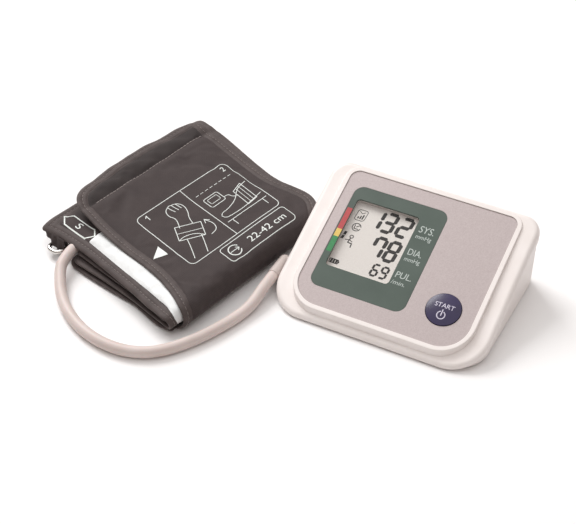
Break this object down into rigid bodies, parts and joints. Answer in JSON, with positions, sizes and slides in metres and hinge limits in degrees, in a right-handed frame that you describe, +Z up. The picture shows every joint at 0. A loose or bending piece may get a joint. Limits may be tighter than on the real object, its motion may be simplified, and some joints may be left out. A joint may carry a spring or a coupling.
{
  "type": "upper-arm blood pressure monitor with wrap cuff",
  "caption": "Wedge-shaped desktop blood pressure monitor with a sloping display and start button, joined by an air hose to a folded upper-arm wrap cuff with a metal ring.",
  "frame": {"origin": "middle of the footprint of the monitor and the folded cuff together, without the hose, at table height", "axes": "+X from the cuff to the monitor, along the monitor's front edge; +Y from the monitor's front to its back; +Z up"},
  "size_m": [0.3012, 0.2096, 0.0485],
  "materials": {
    "white_case": "fine moulded texture",
    "grey_panel": "satin, warm grey",
    "green_bezel": "semi-gloss print on plastic",
    "clear_lens": "clear",
    "display_glass": "reflective display",
    "button_plastic": "satin, dark violet",
    "inner_plastic": "as moulded",
    "elastomer": "soft",
    "board": "solder mask",
    "steel": "nickel plated",
    "motor_steel": "drawn can",
    "air_tube_rubber": "translucent tube",
    "socket_plastic": "as moulded",
    "cell_jacket": "printed jacket without text",
    "foot_rubber": "matt",
    "plug_plastic": "as moulded",
    "hose_rubber": "smooth, warm grey",
    "cuff_nylon": "woven nylon, padded",
    "bladder_rubber": "sheet",
    "hook_tape": "hook tape",
    "loop_tape": "loop tape",
    "ring_steel": "polished wire"
  },
  "bodies": {
    "monitor": {"upper_case": "white_case", "lower_case": "white_case", "face_panel": "grey_panel", "display_bezel": "green_bezel", "display_lens": "clear_lens", "lcd_glass": "display_glass", "lcd_holder": "inner_plastic", "lcd_connector": "elastomer", "circuit_board": "board", "board_screws": "steel", "case_screws": "steel", "tact_switch": "inner_plastic", "buzzer": "inner_plastic", "pressure_sensor": "inner_plastic", "sensor_tube": "air_tube_rubber", "pump_motor": "motor_steel", "pump_head": "inner_plastic", "pump_cushion": "elastomer", "pump_tube": "air_tube_rubber", "exhaust_valve": "motor_steel", "air_manifold": "inner_plastic", "air_socket": "socket_plastic", "dc_jack": "inner_plastic", "battery_cells": "cell_jacket", "battery_springs": "steel", "battery_contacts": "steel", "rubber_feet": "foot_rubber"},
    "button": {"start_button": "button_plastic"},
    "cover": {"battery_cover": "white_case"},
    "cuff": {"air_plug": "plug_plastic", "air_hose": "hose_rubber", "hose_port": "plug_plastic", "cuff_outer_wrap": "cuff_nylon", "cuff_inner_wrap": "cuff_nylon", "air_bladder": "bladder_rubber", "loop_patch": "loop_tape", "ring_sleeve": "cuff_nylon"},
    "flap": {"cuff_flap": "cuff_nylon", "hook_patch": "hook_tape"},
    "ring": {"cuff_ring": "ring_steel"}
  },
  "joints": [
    {"name": "start_button_press", "type": "slide", "parent": "monitor", "child": "button", "axis": [0, 0.3616, -0.9323], "range_m": [0, 0.0008], "stiffness_N_per_m": 2000},
    {"name": "battery_cover_slide", "type": "slide", "parent": "monitor", "child": "cover", "axis": [0, 1, 0], "range_m": [0, 0.01]},
    {"name": "air_plug_pull", "type": "slide", "parent": "monitor", "child": "cuff", "axis": [-1, 0, 0], "range_m": [0, 0.012]},
    {"name": "cuff_flap_lift", "type": "hinge", "parent": "cuff", "child": "flap", "pos_m": [-0.01534, -0.01317, 0.0188], "axis": [0.2368, 0.9715, 0], "range_deg": [0, 75]},
    {"name": "ring_swing", "type": "hinge", "parent": "cuff", "child": "ring", "pos_m": [-0.11521, 0.00911, 0.0054], "axis": [0.2368, 0.9715, 0], "range_deg": [-18, 30]}
  ]
}
